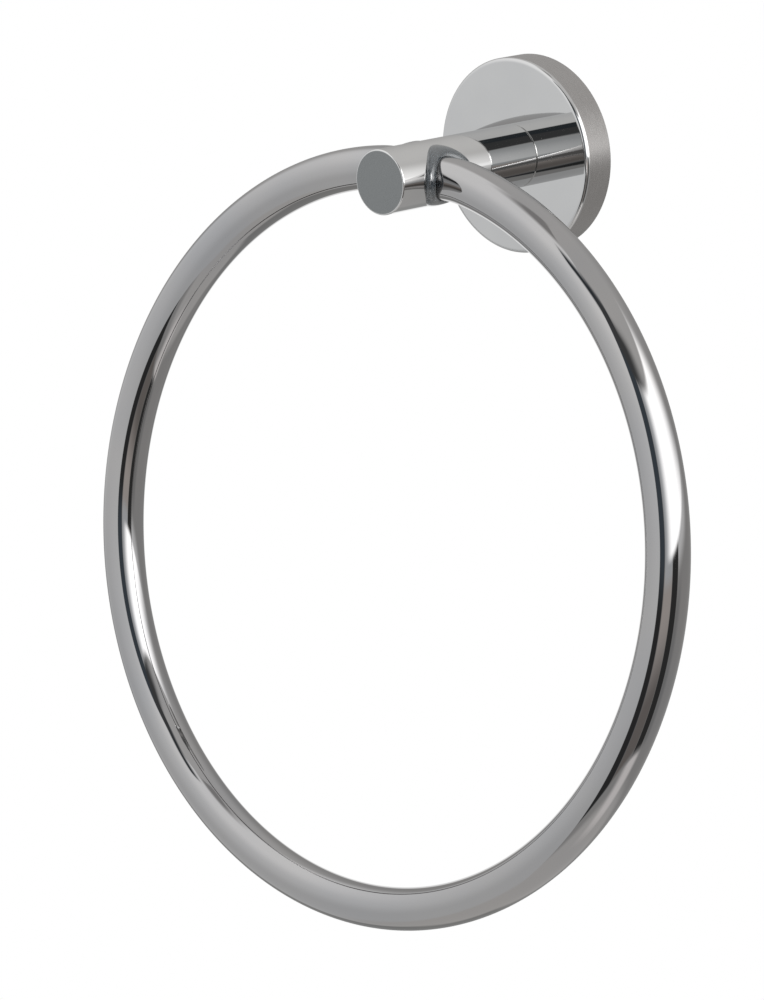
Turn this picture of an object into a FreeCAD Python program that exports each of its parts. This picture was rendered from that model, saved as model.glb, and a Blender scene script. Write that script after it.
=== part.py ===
import FreeCAD, Part
import math
import os

# Towel ring: a round wall rosette, a straight post and a tube ring that swings in the post.
# Millimetres, +Z up, the wall is the plane y = 0 and the front faces -Y.
# The origin is the centre of the rosette's back, on the wall.

# Rosette: a turned cup, open at the back, with a thin front and a solid rim
rosette_diameter = 55.0
rosette_depth = 10.0
rosette_front_thickness = 2.0
rosette_rim_thickness = 2.5
rosette_edge_chamfer = 0.3

# Post: a plain round bar that stands on the rosette's front, as thick as its cross hole needs
post_wall_beside_hole = 2.02
post_nose_length = 17.8
post_edge_chamfer = 0.5

# Ring: a round tube, bent to a circle, with two short straight ends that meet in the post
ring_centreline_diameter = 205.8
ring_tube_diameter = 12.0
ring_tube_wall = 1.2
ring_end_bend_radius = 40.0
ring_end_gap = 0.3
ring_straight_margin = 0.3
ring_swing_at_rest = 9.2

# Cross hole in the post, and the two plastic bushes in it
hinge_reach = 46.0
bush_running_clearance = 0.2
bush_contact_gap = 0.05
bush_wall = 0.75
bush_lip_width = 1.5
bush_lip_height = 0.7
bush_lip_round = 0.55
bush_mouth_round = 0.4
bush_middle_gap = 0.4
bush_seat_clearance = 0.03

# Dowel that joins the two ends of the tube
dowel_length = 18.0
dowel_glue_gap = 0.05
dowel_chamfer = 0.6

# Screw that clamps the rosette to the post, with its spring washer
post_screw_diameter = 6.0
post_screw_length = 16.0
post_screw_head_diameter = 10.0
post_screw_head_height = 6.0
post_screw_socket_width = 5.0
post_screw_socket_depth = 3.0
post_screw_chamfer = 0.5
post_screw_hole_clearance = 0.3
thread_clearance = 0.05
tapped_hole_spare_depth = 2.5
drill_tip_half_angle = 59.0
spring_washer_width = 2.2
spring_washer_thickness = 1.4
spring_washer_slit = 1.0

# Bracket: the round plate inside the rosette that is screwed to the wall
bracket_thickness = 6.0
bracket_rim_clearance = 0.4
bracket_edge_chamfer = 0.4
bracket_centre_clearance = 1.5
wall_screw_spacing = 32.0
wall_screw_hole_diameter = 4.5
wall_screw_sink_diameter = 8.6
wall_screw_sink_depth = 2.05

# Grub screw under the rosette, whose point sits in a groove round the bracket
grub_screw_diameter = 4.0
grub_screw_inset = 0.3
grub_screw_point_radius = 0.5
grub_screw_point_gap = 0.1
grub_screw_socket_width = 2.0
grub_screw_socket_depth = 1.8
groove_depth = 1.8

# How close an edge must lie to a named size to be taken for it
match_tolerance = 0.01

os.makedirs("parts", exist_ok=True)

along_x = FreeCAD.Vector(1, 0, 0)
along_y = FreeCAD.Vector(0, 1, 0)
forward = FreeCAD.Vector(0, -1, 0)
upward = FreeCAD.Vector(0, 0, 1)
wall_centre = FreeCAD.Vector(0, 0, 0)

# Values that follow from the sizes above
rosette_radius = rosette_diameter / 2
cavity_radius = rosette_radius - rosette_rim_thickness
cavity_depth = rosette_depth - rosette_front_thickness
tube_radius = ring_tube_diameter / 2
tube_bore_radius = tube_radius - ring_tube_wall
bush_bore_radius = tube_radius + bush_running_clearance
bush_barrel_radius = bush_bore_radius + bush_wall
bush_lip_radius = bush_barrel_radius + bush_lip_width
cross_hole_radius = bush_barrel_radius + bush_seat_clearance
post_radius = cross_hole_radius + post_wall_beside_hole
post_diameter = 2 * post_radius
post_reach = hinge_reach + post_nose_length
lip_surface_radius = post_radius + bush_lip_height
tube_drop = bush_running_clearance - bush_contact_gap
hole_centre = FreeCAD.Vector(0, -hinge_reach, 0)
hinge = FreeCAD.Vector(0, -hinge_reach, -tube_drop)
ring_end_straight = lip_surface_radius + ring_straight_margin
post_screw_radius = post_screw_diameter / 2
tapped_hole_depth = post_screw_length + tapped_hole_spare_depth
bracket_radius = cavity_radius - bracket_rim_clearance
bracket_centre_radius = post_screw_head_diameter / 2 + bracket_centre_clearance
grub_screw_radius = grub_screw_diameter / 2
grub_screw_depth = bracket_thickness - groove_depth - bracket_edge_chamfer


def rod(radius, start, direction, length):
    """A plain cylinder."""
    return Part.makeCylinder(radius, length, start, direction)


def turned(profile):
    """A solid turned about the post's axis, from points of radius and distance off the wall."""
    corners = [FreeCAD.Vector(radius, -reach, 0) for radius, reach in profile]
    outline = Part.makePolygon(corners + corners[:1])
    return Part.Face(outline).revolve(wall_centre, along_y, 360)


def hexagon(across_flats, start, direction, length):
    """A hexagonal prism for a key, with its first corner square to the direction."""
    corner_radius = across_flats / math.sqrt(3)
    side = upward if abs(direction.z) < 0.5 else along_x
    other = direction.cross(side)
    corners = []
    for step in range(6):
        angle = math.radians(60 * step)
        across = side * (corner_radius * math.cos(angle))
        corners.append(start + across + other * (corner_radius * math.sin(angle)))
    outline = Part.makePolygon(corners + corners[:1])
    return Part.Face(outline).extrude(direction * length)


def circle_edges(shape, radius, reach):
    """The circular edges of this radius that lie this far off the wall."""
    found = []
    for edge in shape.Edges:
        if not isinstance(edge.Curve, Part.Circle):
            continue
        same_size = abs(edge.Curve.Radius - radius) < match_tolerance
        if same_size and abs(edge.Curve.Center.y + reach) < match_tolerance:
            found.append(edge)
    return found


def make_rosette():
    """The cup, its chamfered front edge, the screw's hole and the grub screw's tapped hole."""
    blank = rod(rosette_radius, wall_centre, forward, rosette_depth)
    blank = blank.makeChamfer(rosette_edge_chamfer, circle_edges(blank, rosette_radius, rosette_depth))
    cavity = rod(cavity_radius, wall_centre, forward, cavity_depth)
    screw_hole = rod(post_screw_radius + post_screw_hole_clearance, wall_centre, forward, rosette_depth)
    grub_hole_start = FreeCAD.Vector(0, -grub_screw_depth, -bracket_radius)
    grub_hole = rod(grub_screw_radius + thread_clearance, grub_hole_start, -upward, rosette_radius)
    return blank.cut(cavity).cut(screw_hole).cut(grub_hole)


def make_post():
    """The bar with its chamfered tip, the cross hole and the tapped hole in its base."""
    tip_radius = post_radius - post_edge_chamfer
    tapped_radius = post_screw_radius + thread_clearance
    tapped_end = rosette_depth + tapped_hole_depth
    drill_tip = tapped_radius / math.tan(math.radians(drill_tip_half_angle))
    bar = turned([
        (tapped_radius, rosette_depth),
        (post_radius, rosette_depth),
        (post_radius, post_reach - post_edge_chamfer),
        (tip_radius, post_reach),
        (0, post_reach),
        (0, tapped_end + drill_tip),
        (tapped_radius, tapped_end),
    ])
    cross_start = hole_centre - along_x * post_diameter
    return bar.cut(rod(cross_hole_radius, cross_start, along_x, 2 * post_diameter))


def make_bush(side):
    """One bush half: a barrel in the cross hole and a lip that follows the post's round surface."""
    outward = along_x * side
    inner_end = hole_centre + outward * (bush_middle_gap / 2)
    skin_start = FreeCAD.Vector(0, -hinge_reach + post_diameter, 0)
    lip_envelope = rod(lip_surface_radius, skin_start, forward, 2 * post_diameter)
    post_envelope = rod(post_radius + bush_seat_clearance, skin_start, forward, 2 * post_diameter)
    barrel = rod(bush_barrel_radius, inner_end, outward, post_diameter).common(lip_envelope)
    lip = rod(bush_lip_radius, hole_centre, outward, post_diameter).common(lip_envelope).cut(post_envelope)
    bush = barrel.fuse(lip).removeSplitter()
    bush = bush.cut(rod(bush_bore_radius, hole_centre, outward, post_diameter))
    bush = bush.makeFillet(bush_lip_round, lip_edges(bush, bush_lip_radius))
    return bush.makeFillet(bush_mouth_round, lip_edges(bush, bush_bore_radius))


def lip_edges(bush, radius):
    """The edges where a round surface of this radius about the hole meets the lip's outer surface."""
    found = []
    for edge in bush.Edges:
        middle = edge.valueAt((edge.FirstParameter + edge.LastParameter) / 2)
        off_hole = math.hypot(middle.y + hinge_reach, middle.z)
        off_post = math.hypot(middle.x, middle.z)
        on_hole = abs(off_hole - radius) < match_tolerance
        if on_hole and abs(off_post - lip_surface_radius) < match_tolerance:
            found.append(edge)
    return found


def ring_point(sideways, below):
    """A point of the ring's plane, which hangs from the hinge at the ring's rest angle."""
    swing = math.radians(ring_swing_at_rest)
    return hinge + FreeCAD.Vector(sideways, -below * math.sin(swing), -below * math.cos(swing))


def arc(centre_below, centre_sideways, radius, start_angle, end_angle):
    """An arc in the ring's plane, with angles from straight up, towards +X."""
    points = []
    for angle in (start_angle, (start_angle + end_angle) / 2, end_angle):
        points.append(ring_point(
            centre_sideways + radius * math.sin(angle),
            centre_below - radius * math.cos(angle),
        ))
    return Part.Arc(*points).toShape()


def ring_path():
    """The centreline: a straight end, a bend, the long arc round, a bend and a straight end."""
    ring_radius = ring_centreline_diameter / 2
    radius_left = ring_radius - ring_end_bend_radius
    centre_below = ring_end_bend_radius + math.sqrt(radius_left ** 2 - ring_end_straight ** 2)
    bend_angle = math.asin(ring_end_straight / radius_left)
    half_gap = ring_end_gap / 2
    return Part.Wire([
        Part.LineSegment(ring_point(half_gap, 0), ring_point(ring_end_straight, 0)).toShape(),
        arc(ring_end_bend_radius, ring_end_straight, ring_end_bend_radius, 0, bend_angle),
        arc(centre_below, 0, ring_radius, bend_angle, 2 * math.pi - bend_angle),
        arc(ring_end_bend_radius, -ring_end_straight, ring_end_bend_radius, -bend_angle, 0),
        Part.LineSegment(ring_point(-ring_end_straight, 0), ring_point(-half_gap, 0)).toShape(),
    ])


def make_ring():
    """The tube, swept along its centreline."""
    path = ring_path()
    start = ring_point(ring_end_gap / 2, 0)
    skins = []
    for radius in (tube_radius, tube_bore_radius):
        section = Part.Wire(Part.Circle(start, along_x, radius).toShape())
        skins.append(path.makePipeShell([section], True, False))
    return skins[0].cut(skins[1])


def make_ring_dowel():
    """The dowel inside the tube, with chamfered ends."""
    radius = tube_bore_radius - dowel_glue_gap
    dowel = rod(radius, hinge - along_x * (dowel_length / 2), along_x, dowel_length)
    ends = [edge for edge in dowel.Edges if isinstance(edge.Curve, Part.Circle)]
    return dowel.makeChamfer(dowel_chamfer, ends)


def make_spring_washer():
    """A washer with a slit through one side, under the screw's head."""
    inner_radius = post_screw_radius + post_screw_hole_clearance
    start = FreeCAD.Vector(0, -cavity_depth, 0)
    outer = rod(inner_radius + spring_washer_width, start, along_y, spring_washer_thickness)
    washer = outer.cut(rod(inner_radius, start, along_y, spring_washer_thickness))
    slit_length = 2 * (inner_radius + spring_washer_width)
    slit_corner = FreeCAD.Vector(-spring_washer_slit / 2, -cavity_depth, 0)
    slit = Part.makeBox(spring_washer_slit, spring_washer_thickness, slit_length, slit_corner)
    return washer.cut(slit)


def make_post_screw():
    """A cap screw that passes through the rosette's front into the post."""
    head_seat = cavity_depth - spring_washer_thickness
    head_back = head_seat - post_screw_head_height
    head_radius = post_screw_head_diameter / 2
    shank_end = head_seat + post_screw_length
    screw = turned([
        (0, head_back),
        (head_radius - post_screw_chamfer, head_back),
        (head_radius, head_back + post_screw_chamfer),
        (head_radius, head_seat),
        (post_screw_radius, head_seat),
        (post_screw_radius, shank_end - post_screw_chamfer),
        (post_screw_radius - post_screw_chamfer, shank_end),
        (0, shank_end),
    ])
    socket_start = FreeCAD.Vector(0, -head_back, 0)
    return screw.cut(hexagon(post_screw_socket_width, socket_start, forward, post_screw_socket_depth))


def make_bracket():
    """The plate with a groove round its rim, a hole for the screw's head and two sunk wall holes."""
    plate = turned([
        (bracket_centre_radius, 0),
        (bracket_radius, 0),
        (bracket_radius, grub_screw_depth - groove_depth),
        (bracket_radius - groove_depth, grub_screw_depth),
        (bracket_radius, grub_screw_depth + groove_depth),
        (bracket_radius, bracket_thickness - bracket_edge_chamfer),
        (bracket_radius - bracket_edge_chamfer, bracket_thickness),
        (bracket_centre_radius, bracket_thickness),
    ])
    hole_radius = wall_screw_hole_diameter / 2
    sink_radius = wall_screw_sink_diameter / 2
    for side in (-1, 1):
        centre = FreeCAD.Vector(side * wall_screw_spacing / 2, 0, 0)
        front = centre + forward * bracket_thickness
        hole = rod(hole_radius, centre, forward, bracket_thickness)
        sink = Part.makeCone(sink_radius, hole_radius, wall_screw_sink_depth, front, along_y)
        plate = plate.cut(hole).cut(sink)
    return plate


def make_grub_screw():
    """The headless screw with a cone point up in the bracket's groove and a key socket below."""
    foot = rosette_radius - grub_screw_inset
    point_top = bracket_radius - groove_depth + grub_screw_point_radius + grub_screw_point_gap
    cone_length = grub_screw_radius - grub_screw_point_radius
    shank_length = foot - point_top - cone_length
    foot_centre = FreeCAD.Vector(0, -grub_screw_depth, -foot)
    cone_foot = foot_centre + upward * shank_length
    shank = rod(grub_screw_radius, foot_centre, upward, shank_length)
    cone = Part.makeCone(grub_screw_radius, grub_screw_point_radius, cone_length, cone_foot, upward)
    socket = hexagon(grub_screw_socket_width, foot_centre, upward, grub_screw_socket_depth)
    return shank.fuse(cone).cut(socket)


pieces = {
    "rosette": make_rosette(),
    "post": make_post(),
    "bush_right": make_bush(1),
    "bush_left": make_bush(-1),
    "ring": make_ring(),
    "ring_dowel": make_ring_dowel(),
    "post_screw": make_post_screw(),
    "spring_washer": make_spring_washer(),
    "wall_bracket": make_bracket(),
    "grub_screw": make_grub_screw(),
}

for name, shape in pieces.items():
    shape.exportStep("parts/" + name + ".step")
    print(name, "solids", len(shape.Solids), "valid", shape.isValid(), "volume", round(shape.Volume, 1))

tube_section = math.pi * (tube_radius ** 2 - tube_bore_radius ** 2)
swept_share = pieces["ring"].Volume / (tube_section * ring_path().Length)
print("ring volume over section times length", round(swept_share, 6))
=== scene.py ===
import math

import bmesh
import bpy
from mathutils import Matrix, Vector


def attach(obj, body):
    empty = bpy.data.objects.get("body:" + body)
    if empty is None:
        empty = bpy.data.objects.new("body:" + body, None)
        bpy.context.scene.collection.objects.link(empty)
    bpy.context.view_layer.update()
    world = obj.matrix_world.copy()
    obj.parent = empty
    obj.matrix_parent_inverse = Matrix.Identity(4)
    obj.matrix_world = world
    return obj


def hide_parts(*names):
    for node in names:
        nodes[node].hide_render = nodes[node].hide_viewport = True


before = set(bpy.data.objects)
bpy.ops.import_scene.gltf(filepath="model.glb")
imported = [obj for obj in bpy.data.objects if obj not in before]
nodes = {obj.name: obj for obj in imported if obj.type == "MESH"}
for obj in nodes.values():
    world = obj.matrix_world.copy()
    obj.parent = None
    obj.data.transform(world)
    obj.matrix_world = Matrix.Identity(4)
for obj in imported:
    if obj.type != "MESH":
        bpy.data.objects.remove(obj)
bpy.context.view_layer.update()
print("frame loaded with", len(nodes), "solids")

mm = 0.001  # the piece sizes below are in millimetres, as in the part's own source


# Small helpers for meshes and nodes

def meshObject(name, vertices, faces):
    mesh = bpy.data.meshes.new(name)
    mesh.from_pydata([tuple(co * mm for co in vertex) for vertex in vertices], [], faces)
    mesh.validate()
    piece = bpy.data.objects.new(name, mesh)
    bpy.context.scene.collection.objects.link(piece)
    work = bmesh.new()
    work.from_mesh(mesh)
    bmesh.ops.recalc_face_normals(work, faces=work.faces)
    work.to_mesh(mesh)
    work.free()
    return piece


def turns(steps):
    return [2 * math.pi * step / steps for step in range(steps)]


def bandFaces(near, far, steps):
    # the quads between two rings of vertices, each given by its first vertex
    band = []
    for step in range(steps):
        following = (step + 1) % steps
        band.append((near + step, near + following, far + following, far + step))
    return band


def applyModifier(piece, kind, **settings):
    modifier = piece.modifiers.new(kind.lower(), kind)
    for key, value in settings.items():
        setattr(modifier, key, value)
    with bpy.context.temp_override(object=piece, active_object=piece, selected_objects=[piece]):
        bpy.ops.object.modifier_apply(modifier=modifier.name)


def polishShading(piece, sharpAngle=32):
    # smooth all over, split at real edges, and leaned towards the large faces
    for face in piece.data.polygons:
        face.use_smooth = True
    piece.data.set_sharp_from_angle(angle=math.radians(sharpAngle))
    applyModifier(piece, "WEIGHTED_NORMAL", mode="FACE_AREA", weight=50, keep_sharp=True)


def addNode(tree, kind, inputs=None, **settings):
    node = tree.nodes.new(kind)
    for key, value in settings.items():
        setattr(node, key, value)
    for key, value in (inputs or {}).items():
        if isinstance(value, bpy.types.NodeSocket):
            tree.links.new(value, node.inputs[key])
        else:
            node.inputs[key].default_value = value
    return node


def calculate(tree, operation, first, second=0.0):
    return addNode(tree, "ShaderNodeMath", {0: first, 1: second}, operation=operation).outputs[0]


def ramp(tree, value, start, end, low, high, interpolation="LINEAR"):
    return addNode(tree, "ShaderNodeMapRange", {
        "Value": value, "From Min": start, "From Max": end, "To Min": low, "To Max": high,
    }, interpolation_type=interpolation).outputs["Result"]


def noiseAt(tree, coordinate, scale, detail=3.0, roughness=0.5):
    return addNode(tree, "ShaderNodeTexNoise", {
        "Vector": coordinate, "Scale": scale, "Detail": detail, "Roughness": roughness,
    }).outputs["Fac"]


def blendColours(tree, share, first, second):
    # each colour is either a socket or its three parts
    node = addNode(tree, "ShaderNodeMix", {"Factor": share}, data_type="RGBA")
    for key, colour in (("A", first), ("B", second)):
        if isinstance(colour, bpy.types.NodeSocket):
            tree.links.new(colour, node.inputs[key])
        else:
            node.inputs[key].default_value = (*colour, 1.0)
    return node.outputs["Result"]


def clearedTree(owner):
    owner.use_nodes = True
    owner.node_tree.nodes.clear()
    return owner.node_tree


def mixedMaterial(name, makeShaders):
    # a material of two shaders and their share, which makeShaders builds in its tree
    material = bpy.data.materials.new(name)
    tree = clearedTree(material)
    share, first, second = makeShaders(tree)
    mixed = addNode(tree, "ShaderNodeMixShader", {0: share, 1: first.outputs[0], 2: second.outputs[0]})
    addNode(tree, "ShaderNodeOutputMaterial", {"Surface": mixed.outputs[0]})
    return material


def newMaterial(name, **sockets):
    material = bpy.data.materials.new(name)
    tree = clearedTree(material)
    shader = addNode(tree, "ShaderNodeBsdfPrincipled", sockets)
    addNode(tree, "ShaderNodeOutputMaterial", {"Surface": shader.outputs["BSDF"]})
    return material, tree, shader


def dressShader(tree, shader, finish, tone, toneRange, relief, glossRange):
    # one pattern sets the tone, another the gloss and the fine relief
    share = ramp(tree, tone, *toneRange, 0.0, 1.0)
    tree.links.new(blendColours(tree, share, finish["dark"], finish["pale"]), shader.inputs["Base Color"])
    gloss = ramp(tree, relief, *glossRange, finish["glossiest"], finish["dullest"])
    tree.links.new(gloss, shader.inputs["Roughness"])
    bump = addNode(tree, "ShaderNodeBump", {
        "Height": relief, "Strength": finish["reliefStrength"], "Distance": finish["reliefDepth"] * mm,
    })
    tree.links.new(bump.outputs["Normal"], shader.inputs["Normal"])


# Metal finishes

def polishedMetal(name, finish):
    # polished plate: a faint drift of tone and gloss, and hair-fine rubbing marks
    material, tree, shader = newMaterial(name, Metallic=1.0)
    place = addNode(tree, "ShaderNodeTexCoord").outputs["Object"]
    drift = noiseAt(tree, place, finish["driftScale"], 2.0)
    marks = noiseAt(tree, place, finish["markScale"], 4.0, 0.6)
    dressShader(tree, shader, finish, drift, (0.3, 0.7), marks, (0.3, 0.75))
    return material


def turnedMetal(name, finish):
    # lathe grain: fine rings round the post's axis, broken up by a dense speckle
    material, tree, shader = newMaterial(name, Metallic=1.0)
    place = addNode(tree, "ShaderNodeTexCoord").outputs["Object"]
    axes = addNode(tree, "ShaderNodeSeparateXYZ", {"Vector": place})
    angle = calculate(tree, "ARCTAN2", axes.outputs["X"], axes.outputs["Z"])
    along = calculate(tree, "MULTIPLY", angle, finish["grainLength"] * mm)
    flat = addNode(tree, "ShaderNodeCombineXYZ", {"X": axes.outputs["X"], "Z": axes.outputs["Z"]})
    radius = addNode(tree, "ShaderNodeVectorMath", {0: flat.outputs[0]}, operation="LENGTH").outputs["Value"]
    rolled = addNode(tree, "ShaderNodeCombineXYZ", {"X": along, "Y": axes.outputs["Y"], "Z": radius})
    grain = noiseAt(tree, rolled.outputs[0], finish["grainScale"], 3.0, 0.6)
    speckle = noiseAt(tree, place, finish["speckleScale"], 2.0, 0.7)
    halves = [calculate(tree, "MULTIPLY", pattern, 0.5) for pattern in (grain, speckle)]
    both = calculate(tree, "ADD", *halves)
    dressShader(tree, shader, finish, both, (0.35, 0.65), both, (0.3, 0.7))
    return material


# the ring's chrome is given a darker tone than the post's and the rosette's
ringFinish = {
    "dark": (0.416, 0.416, 0.424), "pale": (0.460, 0.449, 0.442), "driftScale": 22.0,
    "markScale": 900.0, "glossiest": 0.020, "dullest": 0.050, "reliefStrength": 0.10, "reliefDepth": 0.002,
}
postFinish = {
    "dark": (0.640, 0.640, 0.640), "pale": (0.680, 0.678, 0.672), "driftScale": 60.0,
    "markScale": 1100.0, "glossiest": 0.020, "dullest": 0.045, "reliefStrength": 0.08, "reliefDepth": 0.002,
}
rosetteFinish = {
    "dark": (0.600, 0.600, 0.600), "pale": (0.640, 0.640, 0.636), "driftScale": 45.0,
    "markScale": 1000.0, "glossiest": 0.015, "dullest": 0.035, "reliefStrength": 0.08, "reliefDepth": 0.002,
}
# the turned rim: its satin grain is its own, and its tone is partly its own and partly painted shade, set lower to
# dim the rim
rimGrainAndPaintedShade = {
    "dark": (0.405, 0.392, 0.383), "pale": (0.468, 0.455, 0.446), "grainLength": 3.0, "grainScale": 4200.0,
    "speckleScale": 3200.0, "glossiest": 0.22, "dullest": 0.32, "reliefStrength": 0.15, "reliefDepth": 0.008,
}
# the tip's satin end: its grain and gloss are its own, and its low bluish tone is painted shade that stands in for
# dark surroundings mirrored in it
tipSatinAndPaintedShade = {
    "dark": (0.236, 0.246, 0.248), "pale": (0.256, 0.266, 0.268), "grainLength": 2.0, "grainScale": 3600.0,
    "speckleScale": 3000.0, "glossiest": 0.26, "dullest": 0.32, "reliefStrength": 0.02, "reliefDepth": 0.002,
}
ringChrome = polishedMetal("ringChrome", ringFinish)
postChrome = polishedMetal("postChrome", postFinish)
rosetteChrome = polishedMetal("rosetteChrome", rosetteFinish)
rimMetal = turnedMetal("rimMetal", rimGrainAndPaintedShade)
tipMetal = turnedMetal("tipMetal", tipSatinAndPaintedShade)
print("metal finishes ready")


# Ring: the tube bent to a circle, with two straight ends that meet in the post

ringPiece = {
    "centrelineDiameter": 205.8, "tubeDiameter": 12.0, "tubeWall": 1.2,
    "endBendRadius": 40.0, "endStraight": 10.0, "endGap": 0.3,
    "hinge": (0.0, -46.0, -0.15), "swingAtRest": 9.2,
    "roundSteps": 72, "longArcSteps": 480, "bendSteps": 10, "straightSteps": 4,
}


def ringCentreline(size):
    # steps of (sideways, below, angle from straight up), from the right end round to the left end
    radius = size["centrelineDiameter"] / 2
    bend = size["endBendRadius"]
    straight = size["endStraight"]
    centreBelow = bend + math.sqrt((radius - bend) ** 2 - straight ** 2)
    bendAngle = math.asin(straight / (radius - bend))
    halfGap = size["endGap"] / 2
    half = []
    for step in range(size["straightSteps"]):
        half.append((halfGap + (straight - halfGap) * step / size["straightSteps"], 0.0, 0.0))
    for step in range(size["bendSteps"]):
        angle = bendAngle * step / size["bendSteps"]
        half.append((straight + bend * math.sin(angle), bend - bend * math.cos(angle), angle))
    longArc = []
    for step in range(size["longArcSteps"] + 1):
        angle = bendAngle + (2 * math.pi - 2 * bendAngle) * step / size["longArcSteps"]
        longArc.append((radius * math.sin(angle), centreBelow - radius * math.cos(angle), angle))
    otherHalf = [(-sideways, below, 2 * math.pi - angle) for sideways, below, angle in reversed(half)]
    return half + longArc + otherHalf


def makeRing(size):
    swing = math.radians(size["swingAtRest"])
    hinge = Vector(size["hinge"])
    side = Vector((1, 0, 0))
    down = Vector((0, -math.sin(swing), -math.cos(swing)))
    square = Vector((0, -math.cos(swing), math.sin(swing)))
    path = ringCentreline(size)
    vertices = []
    faces = []

    def addSkin(tubeRadius, steps):
        first = len(vertices)
        for sideways, below, angle in path:
            centre = hinge + side * sideways + down * below
            outward = side * math.sin(angle) - down * math.cos(angle)
            for turn in turns(steps):
                vertices.append(centre + (outward * math.cos(turn) + square * math.sin(turn)) * tubeRadius)
        for row in range(len(path) - 1):
            faces.extend(bandFaces(first + row * steps, first + (row + 1) * steps, steps))
        return first

    outerRadius = size["tubeDiameter"] / 2
    steps = size["roundSteps"]
    outer = addSkin(outerRadius, steps)
    inner = addSkin(outerRadius - size["tubeWall"], steps)
    for row in (0, len(path) - 1):  # the cut ends, square to the tube
        faces.extend(bandFaces(outer + row * steps, inner + row * steps, steps))
    return meshObject("ringTube", vertices, faces)


ringTube = makeRing(ringPiece)
polishShading(ringTube)
ringTube.data.materials.append(ringChrome)
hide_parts("ring")
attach(ringTube, "swing_ring")
print("ring tube made:", len(ringTube.data.polygons), "faces")


# Turned pieces: a profile of (radius, reach off the wall, corner rounding) about the post's axis

def softenedProfile(corners, arcSteps):
    points = []
    count = len(corners)
    for index, (radius, reach, rounding) in enumerate(corners):
        corner = Vector((radius, reach))
        if rounding == 0:
            points.append(corner)
            continue
        before = Vector(corners[index - 1][:2]) - corner
        after = Vector(corners[(index + 1) % count][:2]) - corner
        before.normalize()
        after.normalize()
        half = before.angle(after) / 2
        tangent = rounding / math.tan(half)
        centre = corner + (before + after).normalized() * (rounding / math.sin(half))
        start = corner + before * tangent - centre
        end = corner + after * tangent - centre
        sweep = start.angle(end)
        for step in range(arcSteps + 1):
            share = step / arcSteps
            mixed = start * math.sin((1 - share) * sweep) + end * math.sin(share * sweep)
            points.append(centre + mixed / math.sin(sweep))
    return points


def turnedMesh(name, profile, roundSteps):
    vertices = []
    rings = []
    for radius, reach in profile:
        if radius < 0.001:  # a point on the axis
            rings.append([len(vertices)] * roundSteps)
            vertices.append((0.0, -reach, 0.0))
            continue
        rings.append(list(range(len(vertices), len(vertices) + roundSteps)))
        vertices.extend((radius * math.sin(turn), -reach, radius * math.cos(turn)) for turn in turns(roundSteps))
    faces = []
    for index in range(len(rings)):
        near, far = rings[index], rings[(index + 1) % len(rings)]
        for step in range(roundSteps):
            following = (step + 1) % roundSteps
            loop = []
            for corner in (near[step], near[following], far[following], far[step]):
                if corner not in loop:
                    loop.append(corner)
            if len(loop) > 2:
                faces.append(tuple(loop))
    return meshObject(name, vertices, faces)


def cutRoundHole(piece, start, end, radius, steps):
    # a straight round hole between two points
    axis = Vector(end) - Vector(start)
    side = axis.orthogonal().normalized()
    other = axis.cross(side).normalized()
    vertices = []
    for centre in (Vector(start), Vector(end)):
        for turn in turns(steps):
            vertices.append(centre + (side * math.cos(turn) + other * math.sin(turn)) * radius)
    faces = bandFaces(0, steps, steps)
    faces.append(tuple(range(steps)))
    faces.append(tuple(range(steps, 2 * steps)))
    cutter = meshObject("cutter", vertices, faces)
    applyModifier(piece, "BOOLEAN", object=cutter, operation="DIFFERENCE", solver="EXACT")
    bpy.data.objects.remove(cutter)


# Rosette: the turned cup against the wall

rosettePiece = {
    "diameter": 55.0, "depth": 10.0, "frontThickness": 2.0, "rimThickness": 2.5,
    "frontEdgeRound": 1.25, "backEdgeRound": 0.25, "cavityEdgeRound": 0.15, "cavityRound": 0.4,
    "polishedFrom": 8.85, "screwHoleRadius": 3.3, "grubHoleRadius": 2.05, "grubHoleReach": 3.8,
    "grubHolePast": 2.0, "roundSteps": 288, "arcSteps": 10, "grubHoleSteps": 40,
}


def makeRosette(size):
    radius = size["diameter"] / 2
    cavity = radius - size["rimThickness"]
    cavityDepth = size["depth"] - size["frontThickness"]
    profile = softenedProfile([
        (size["screwHoleRadius"], size["depth"], 0),
        (radius, size["depth"], size["frontEdgeRound"]),
        (radius, 0, size["backEdgeRound"]),
        (cavity, 0, size["cavityEdgeRound"]),
        (cavity, cavityDepth, size["cavityRound"]),
        (size["screwHoleRadius"], cavityDepth, 0),
    ], size["arcSteps"])
    piece = turnedMesh("rosetteCup", profile, size["roundSteps"])
    y = -size["grubHoleReach"]
    past = size["grubHolePast"]
    start, end = (0, y, -radius - past), (0, y, -cavity + past)
    cutRoundHole(piece, start, end, size["grubHoleRadius"], size["grubHoleSteps"])
    return piece


rosetteCup = makeRosette(rosettePiece)
polishShading(rosetteCup)
rosetteCup.data.materials.append(rosetteChrome)
rosetteCup.data.materials.append(rimMetal)
for face in rosetteCup.data.polygons:  # the turned rim and the inside of the cup aren't polished
    face.material_index = 0 if face.center.y < -rosettePiece["polishedFrom"] * mm else 1
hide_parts("rosette")
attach(rosetteCup, "wall_unit")
print("rosette made:", len(rosetteCup.data.polygons), "faces")


# Post: the round bar with its cross hole

postPiece = {
    "radius": 9.0, "start": 10.0, "reach": 63.8, "baseRound": 0.35, "tipRound": 0.42, "satinFrom": 63.78,
    "tappedRadius": 3.05, "tappedDepth": 18.5, "drillHalfAngle": 59.0, "holeReach": 46.0, "holeRadius": 6.98,
    "holePast": 11.0, "bandsBesideHole": 10, "roundSteps": 192, "arcSteps": 5, "holeSteps": 128,
}


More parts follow.
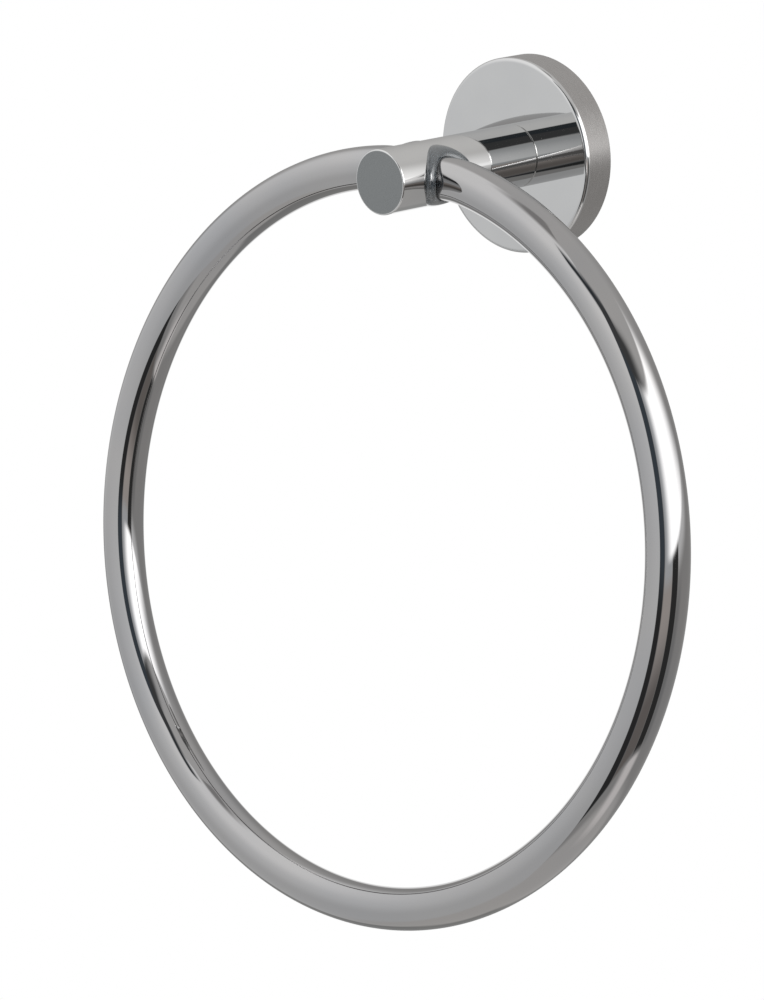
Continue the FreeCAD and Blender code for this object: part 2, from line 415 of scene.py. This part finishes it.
def makePost(size):
    tappedEnd = size["start"] + size["tappedDepth"]
    drillTip = size["tappedRadius"] / math.tan(math.radians(size["drillHalfAngle"]))
    profile = softenedProfile([
        (size["tappedRadius"], size["start"], 0),
        (size["radius"], size["start"], size["baseRound"]),
        (size["radius"], size["reach"], size["tipRound"]),
        (0, size["reach"], 0),
        (0, tappedEnd + drillTip, 0),
        (size["tappedRadius"], tappedEnd, 0),
    ], size["arcSteps"])
    sideEnd = [i for i, point in enumerate(profile) if point.x > size["radius"] - 0.0001][0]
    # a ring of faces at every millimetre near the cross hole keeps the shading even there
    near = range(-size["bandsBesideHole"], size["bandsBesideHole"] + 1)
    bands = [Vector((size["radius"], size["holeReach"] + band)) for band in near]
    profile = profile[:sideEnd + 1] + bands + profile[sideEnd + 1:]
    piece = turnedMesh("postBar", profile, size["roundSteps"])
    y = -size["holeReach"]
    half = size["radius"] + size["holePast"]
    cutRoundHole(piece, (-half, y, 0), (half, y, 0), size["holeRadius"], size["holeSteps"])
    return piece


postBar = makePost(postPiece)
polishShading(postBar)
postBar.data.materials.append(postChrome)
postBar.data.materials.append(tipMetal)
for face in postBar.data.polygons:  # the tip's flat end is satin, with painted shade in its tone; its rounding isn't
    flat = face.normal.y < -0.99
    face.material_index = 1 if flat and face.center.y < -postPiece["satinFrom"] * mm else 0
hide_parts("post")
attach(postBar, "wall_unit")
print("post made:", len(postBar.data.polygons), "faces")


# Bushes: a barrel in the cross hole, and a bead that follows the post's round side

def mouldedPlastic(name, finish):
    material, tree, shader = newMaterial(name, **{
        "Specular IOR Level": finish["specular"], "Coat Weight": finish["coat"],
        "Coat Roughness": finish["coatRoughness"], "Coat IOR": finish["coatIor"],
    })
    place = addNode(tree, "ShaderNodeTexCoord").outputs["Object"]
    drift = noiseAt(tree, place, finish["driftScale"], 2.0)
    skin = noiseAt(tree, place, finish["skinScale"], 3.0)
    dressShader(tree, shader, finish, drift, (0.3, 0.7), skin, (0.3, 0.7))
    return material


bushFinish = {
    "dark": (0.042, 0.050, 0.057), "pale": (0.058, 0.068, 0.076), "driftScale": 220.0, "specular": 0.5,
    "skinScale": 900.0, "glossiest": 0.12, "dullest": 0.18, "reliefStrength": 0.05, "reliefDepth": 0.005,
    "coat": 1.0, "coatRoughness": 0.03, "coatIor": 1.8,
}
bushPiece = {
    "holeReach": 46.0, "postRadius": 9.0, "boreRadius": 6.2, "barrelRadius": 6.95, "innerEnd": 0.2, "seat": 0.03,
    "mouthRadius": 6.07, "mouthLower": 0.15, "mouthDepth": 1.2, "lipRadius": 8.45, "lipRadiusSideways": 9.1,
    "beadBase": 0.05, "beadHeight": 0.75, "beadHeightSideways": 1.5, "beadFullness": 2.3, "crownPlace": 0.42,
    "mouthDrop": 0.40, "roundSteps": 160, "beadSteps": 20, "innerSteps": 8,
}


def makeBush(name, size, side):
    # the bead is wider and taller beside the tube, along the post, than above and below it
    fullness = 2 / size["beadFullness"]
    crown = size["crownPlace"]
    bead = []
    for step in range(size["beadSteps"] + 1):
        turn = math.pi / 2 * step / size["beadSteps"]
        bead.append((crown + (1 - crown) * math.cos(turn) ** fullness, math.sin(turn) ** fullness))
    for step in range(1, size["innerSteps"] + 1):
        inward = step / size["innerSteps"]
        bead.append((crown * (1 - inward), 1 - size["mouthDrop"] * inward ** 2))
    columns = []
    for turn in turns(size["roundSteps"]):
        sideways = math.cos(turn) ** 2
        lip = size["lipRadius"] + (size["lipRadiusSideways"] - size["lipRadius"]) * sideways
        height = size["beadHeight"] + (size["beadHeightSideways"] - size["beadHeight"]) * sideways

        def onPost(offHole, aboveSurface, lower=0.0):
            z = offHole * math.sin(turn) - lower
            return (side * math.sqrt((size["postRadius"] + aboveSurface) ** 2 - z * z),
                    -size["holeReach"] + offHole * math.cos(turn), z)

        def inHole(offHole, x):
            return (side * x, -size["holeReach"] + offHole * math.cos(turn), offHole * math.sin(turn))

        column = [inHole(size["boreRadius"], size["innerEnd"]), inHole(size["barrelRadius"], size["innerEnd"]),
                  onPost(size["barrelRadius"], size["seat"]), onPost(lip, size["seat"])]
        for across, upward in bead:
            offHole = size["mouthRadius"] + (lip - size["mouthRadius"]) * across
            aboveSurface = size["seat"] + size["beadBase"] + height * upward
            # the tube rests in the bore, so the mouth sits lower than the lip's outer edge
            column.append(onPost(offHole, aboveSurface, size["mouthLower"] * (1 - across)))
        column.append(inHole(size["boreRadius"], abs(column[-1][0]) - size["mouthDepth"]))
        columns.append(column)
    rows = len(columns[0])
    steps = size["roundSteps"]
    vertices = [column[row] for row in range(rows) for column in columns]
    faces = []
    for row in range(rows):
        faces.extend(bandFaces(row * steps, (row + 1) % rows * steps, steps))
    return meshObject(name, vertices, faces)


bushPlastic = mouldedPlastic("bushPlastic", bushFinish)
for bushName, solidName, side in (("bushRight", "bush_right", 1), ("bushLeft", "bush_left", -1)):
    bush = makeBush(bushName, bushPiece, side)
    polishShading(bush, 40)
    bush.data.materials.append(bushPlastic)
    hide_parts(solidName)
    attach(bush, "wall_unit")
print("bushes made:", len(bush.data.polygons), "faces each")


# Finishes of the solids that stay as they are

dowelFinish = {
    "dark": (0.42, 0.42, 0.41), "pale": (0.58, 0.58, 0.57), "grainLength": 2.0, "grainScale": 3000.0,
    "speckleScale": 1800.0, "glossiest": 0.26, "dullest": 0.40, "reliefStrength": 0.3, "reliefDepth": 0.01,
}
screwFinish = {
    "dark": (0.40, 0.41, 0.44), "pale": (0.55, 0.56, 0.58), "grainLength": 3.0, "grainScale": 2600.0,
    "speckleScale": 1500.0, "glossiest": 0.28, "dullest": 0.42, "reliefStrength": 0.3, "reliefDepth": 0.012,
}
bracketFinish = {
    "dark": (0.40, 0.405, 0.41), "pale": (0.56, 0.565, 0.57), "grainLength": 24.0, "grainScale": 700.0,
    "speckleScale": 900.0, "glossiest": 0.38, "dullest": 0.55, "reliefStrength": 0.4, "reliefDepth": 0.03,
}
solidFinishes = {
    "ring_dowel": turnedMetal("dowelSteel", dowelFinish),
    "post_screw": turnedMetal("screwSteel", screwFinish),
    "wall_bracket": turnedMetal("bracketZinc", bracketFinish),
}
solidFinishes["spring_washer"] = solidFinishes["post_screw"]
solidFinishes["grub_screw"] = solidFinishes["post_screw"]
for solidName, finish in solidFinishes.items():
    for slot in nodes[solidName].material_slots:
        slot.material = finish
print("finishes given to", len(solidFinishes), "solids")


# Camera, at the photo's viewing angle

cameraPlace = {
    "azimuth": 43.601, "elevation": 16.488, "roll": 0.897,
    "target": (-38.982, -20.0, -106.711), "distance": 1129.372, "lens": 139.077, "film": 36.0,
    "clipEnd": 20000.0,
}


def makeCamera(place):
    azimuth, elevation, roll = (math.radians(place[key]) for key in ("azimuth", "elevation", "roll"))
    forward = Vector((-math.sin(azimuth) * math.cos(elevation),
                      math.cos(azimuth) * math.cos(elevation), -math.sin(elevation)))
    right = Vector((math.cos(azimuth), math.sin(azimuth), 0))
    up = right.cross(forward)
    right, up = (right * math.cos(roll) + up * math.sin(roll),
                 up * math.cos(roll) - right * math.sin(roll))
    where = (Vector(place["target"]) - forward * place["distance"]) * mm
    data = bpy.data.cameras.new("camera")
    data.sensor_fit = "VERTICAL"
    data.sensor_width = place["film"]
    data.sensor_height = place["film"]
    data.lens = place["lens"]
    data.clip_end = place["clipEnd"] * mm
    camera = bpy.data.objects.new("camera", data)
    camera.matrix_world = Matrix((
        (right.x, up.x, -forward.x, where.x),
        (right.y, up.y, -forward.y, where.y),
        (right.z, up.z, -forward.z, where.z),
        (0, 0, 0, 1),
    ))
    bpy.context.scene.collection.objects.link(camera)
    bpy.context.scene.camera = camera
    return forward


cameraForward = makeCamera(cameraPlace)
print("camera placed")


# Studio: a white world, a light tent round the object, and a pale floor

worldLight = {"dim": (0.6, 0.6, 0.6), "white": (1.0, 1.0, 1.0)}


def makeWorld(light):
    # white for the camera, and for what metal mirrors through the tent's opening behind the object
    world = bpy.data.worlds.new("studio")
    bpy.context.scene.world = world
    tree = clearedTree(world)
    path = addNode(tree, "ShaderNodeLightPath").outputs
    glossy = calculate(tree, "ADD", path["Is Glossy Ray"], path["Is Transmission Ray"])
    seen = addNode(tree, "ShaderNodeClamp", {"Value": calculate(tree, "ADD", path["Is Camera Ray"], glossy)})
    dim = addNode(tree, "ShaderNodeBackground", {"Color": (*light["dim"], 1.0), "Strength": 1.0})
    white = addNode(tree, "ShaderNodeBackground", {"Color": (*light["white"], 1.0), "Strength": 1.0})
    mixed = addNode(tree, "ShaderNodeMixShader", {0: seen.outputs[0], 1: dim.outputs[0], 2: white.outputs[0]})
    addNode(tree, "ShaderNodeOutputWorld", {"Surface": mixed.outputs[0]})


# Each patch: name, azimuth from, to (0 is in front, +90 is to the right), softness of those two edges,
# elevation from, to, softness of those two edges, brightness, tint. Later patches lie over earlier ones.
lightTent = {
    "centre": (0.0, -150.0, -100.0), "radius": 700.0, "roundSteps": 64, "heightSteps": 32,
    "ambient": (0.405, 0.400, 0.395), "openingHalfAngle": 13.0, "openingSoftness": 4.0, "secondMirror": 0.76,
    "patches": [
        ("upper", -200, 200, 1, 1, 28, 95, 52, 1, 0.67, (1.01, 1.00, 0.99)),
        ("floorGlow", -200, 200, 1, 1, -95, -48, 1, 10, 0.62, (1.02, 1.00, 0.98)),
        ("floorStreak", 67, 104, 26, 18, -60, -39, 14, 2, 0.92, (1.04, 1.00, 0.985)),
        ("leftLow", -106, 8, 18, 2.5, -60, 72, 10, 8, 0.68, (0.99, 1.00, 1.01)),
        ("leftMiddle", -106, 8, 18, 2.5, -8, 72, 48, 8, 0.87, (0.99, 1.00, 1.01)),
        ("leftHigh", -122, 8, 20, 2.5, 30, 74, 46, 10, 1.14, (1.00, 1.00, 1.00)),
        ("overhead", -175, 2, 20, 10, 79, 95, 6, 1, 0.37, (1.02, 1.00, 0.99)),
        ("behindLow", -170, -105, 14, 10, -72, -13, 10, 8, 0.330, (1.00, 1.00, 0.99)),
        ("column", 9, 36, 3, 6, -37, 62, 3, 12, 0.090, (0.82, 1.00, 1.20)),
        ("columnLow", 9, 34, 3, 5, -37, 4, 3, 10, 0.040, (1.00, 1.00, 1.02)),
        ("columnTop", -12, 36, 4, 6, 51, 64, 7, 12, 0.055, (0.85, 1.00, 1.15)),
        ("columnHead", 12, 70, 4, 56, 45, 60, 4, 10, 0.085, (0.98, 1.00, 1.03)),
        ("bandLow", 36, 74, 7, 3, -37, 7, 4, 4, 0.200, (1.10, 1.00, 0.94)),
        ("bandHigh", 36, 74, 7, 3, -12, 8, 22, 4, 0.500, (1.09, 1.00, 0.95)),
        ("boxGlow", 38, 74, 7, 4, 5, 45, 5, 4, 0.640, (0.97, 1.00, 1.03)),
        ("boxSpill", 101, 146, 3, 36, 4, 16, 8, 6, 0.880, (1.00, 1.00, 1.00)),
        ("softBox", 58, 137, 36, 44, 10, 47, 3, 4, 2.400, (1.00, 1.00, 1.00)),
        ("boxCore", 82, 100, 12, 12, 15, 42, 8, 8, 4.000, (1.00, 1.00, 1.00)),
        ("boxHeart", 85, 97, 6, 6, 19, 38, 6, 6, 11.000, (1.00, 1.00, 1.00)),
        ("block", 75, 99.5, 2.5, 2.5, -37.5, 9, 3, 2.5, 0.045, (1.00, 1.00, 1.00)),
        ("blockSide", 100, 116, 1.5, 16, -37, -2, 4, 10, 0.300, (1.00, 1.00, 1.00)),
    ],
}


def makeTent(tent, backdropDirection):
    centre = Vector(tent["centre"])
    columns, rows = tent["roundSteps"], tent["heightSteps"]
    vertices = [(0.0, 0.0, tent["radius"])]
    for row in range(1, rows):
        fall = math.pi * row / rows
        for turn in turns(columns):
            vertices.append((tent["radius"] * math.sin(fall) * math.cos(turn),
                             tent["radius"] * math.sin(fall) * math.sin(turn), tent["radius"] * math.cos(fall)))
    vertices.append((0.0, 0.0, -tent["radius"]))
    faces = []
    for column in range(columns):
        following = (column + 1) % columns
        faces.append((0, 1 + column, 1 + following))
        for row in range(rows - 2):
            first = 1 + row * columns
            faces.append((first + column, first + columns + column, first + columns + following, first + following))
        last = 1 + (rows - 2) * columns
        faces.append((last + column, len(vertices) - 1, last + following))
    cloth = meshObject("lightTent", vertices, faces)
    cloth.location = centre * mm

    def shine(tree):
        place = addNode(tree, "ShaderNodeTexCoord").outputs["Object"]
        direction = addNode(tree, "ShaderNodeVectorMath", {0: place}, operation="NORMALIZE").outputs["Vector"]
        axes = addNode(tree, "ShaderNodeSeparateXYZ", {"Vector": direction})
        toFront = calculate(tree, "MULTIPLY", axes.outputs["Y"], -1.0)
        azimuth = calculate(tree, "MULTIPLY", calculate(tree, "ARCTAN2", axes.outputs["X"], toFront), 180 / math.pi)
        elevation = calculate(tree, "MULTIPLY", calculate(tree, "ARCSINE", axes.outputs["Z"]), 180 / math.pi)

        def window(value, start, end, startSoft, endSoft):
            rise = ramp(tree, value, start - startSoft / 2, start + startSoft / 2, 0.0, 1.0, "SMOOTHSTEP")
            fall = ramp(tree, value, end - endSoft / 2, end + endSoft / 2, 1.0, 0.0, "SMOOTHSTEP")
            return calculate(tree, "MULTIPLY", rise, fall)

        colour = tent["ambient"]
        for _, *edges, level, tint in tent["patches"]:
            across = window(azimuth, *edges[:4])
            upward = window(elevation, *edges[4:])
            share = calculate(tree, "MULTIPLY", across, upward)
            colour = blendColours(tree, share, colour, [level * part for part in tint])
        facing = addNode(tree, "ShaderNodeVectorMath", {
            0: direction, 1: backdropDirection,
        }, operation="DOT_PRODUCT")
        edge = math.cos(math.radians(tent["openingHalfAngle"]))
        softer = math.cos(math.radians(tent["openingHalfAngle"] + tent["openingSoftness"]))
        opening = ramp(tree, facing.outputs["Value"], softer, edge, 0.0, 1.0)
        # light that has been round two mirrors is a little weaker, as on real plating
        mirrors = addNode(tree, "ShaderNodeLightPath").outputs["Glossy Depth"]
        strength = ramp(tree, mirrors, 1.0, 2.0, 1.0, tent["secondMirror"])
        glow = addNode(tree, "ShaderNodeEmission", {"Color": colour, "Strength": strength})
        return opening, glow, addNode(tree, "ShaderNodeBsdfTransparent")

    material = mixedMaterial("tentCloth", shine)
    material.cycles.emission_sampling = "BACK"  # it lights what is inside it
    cloth.data.materials.append(material)
    cloth.visible_camera = False


makeWorld(worldLight)
makeTent(lightTent, cameraForward)
print("light tent hung with", len(lightTent["patches"]), "patches")

floorPiece = {
    "centre": (0.0, -150.0, -550.0), "radius": 500.0, "solidRadius": 340.0, "steps": 96,
    "colour": (0.80, 0.79, 0.78),
}


def makeFloor(size):
    radius = size["radius"]
    vertices = [(radius * math.cos(turn), radius * math.sin(turn), 0.0) for turn in turns(size["steps"])]
    floor = meshObject("floor", vertices, [tuple(range(size["steps"]))])
    floor.location = Vector(size["centre"]) * mm

    def paper(tree):
        place = addNode(tree, "ShaderNodeTexCoord").outputs["Object"]
        fromMiddle = addNode(tree, "ShaderNodeVectorMath", {0: place}, operation="LENGTH").outputs["Value"]
        fade = ramp(tree, fromMiddle, size["solidRadius"] * mm, radius * mm, 1.0, 0.0, "SMOOTHSTEP")
        clear = addNode(tree, "ShaderNodeBsdfTransparent")
        return fade, clear, addNode(tree, "ShaderNodeBsdfDiffuse", {"Color": (*size["colour"], 1.0)})

    floor.data.materials.append(mixedMaterial("floorPaper", paper))
    floor.visible_glossy = False  # metal mirrors the tent's floorGlow instead, which is the same tone


makeFloor(floorPiece)
bpy.context.scene.view_settings.view_transform = "Standard"
print("floor laid")
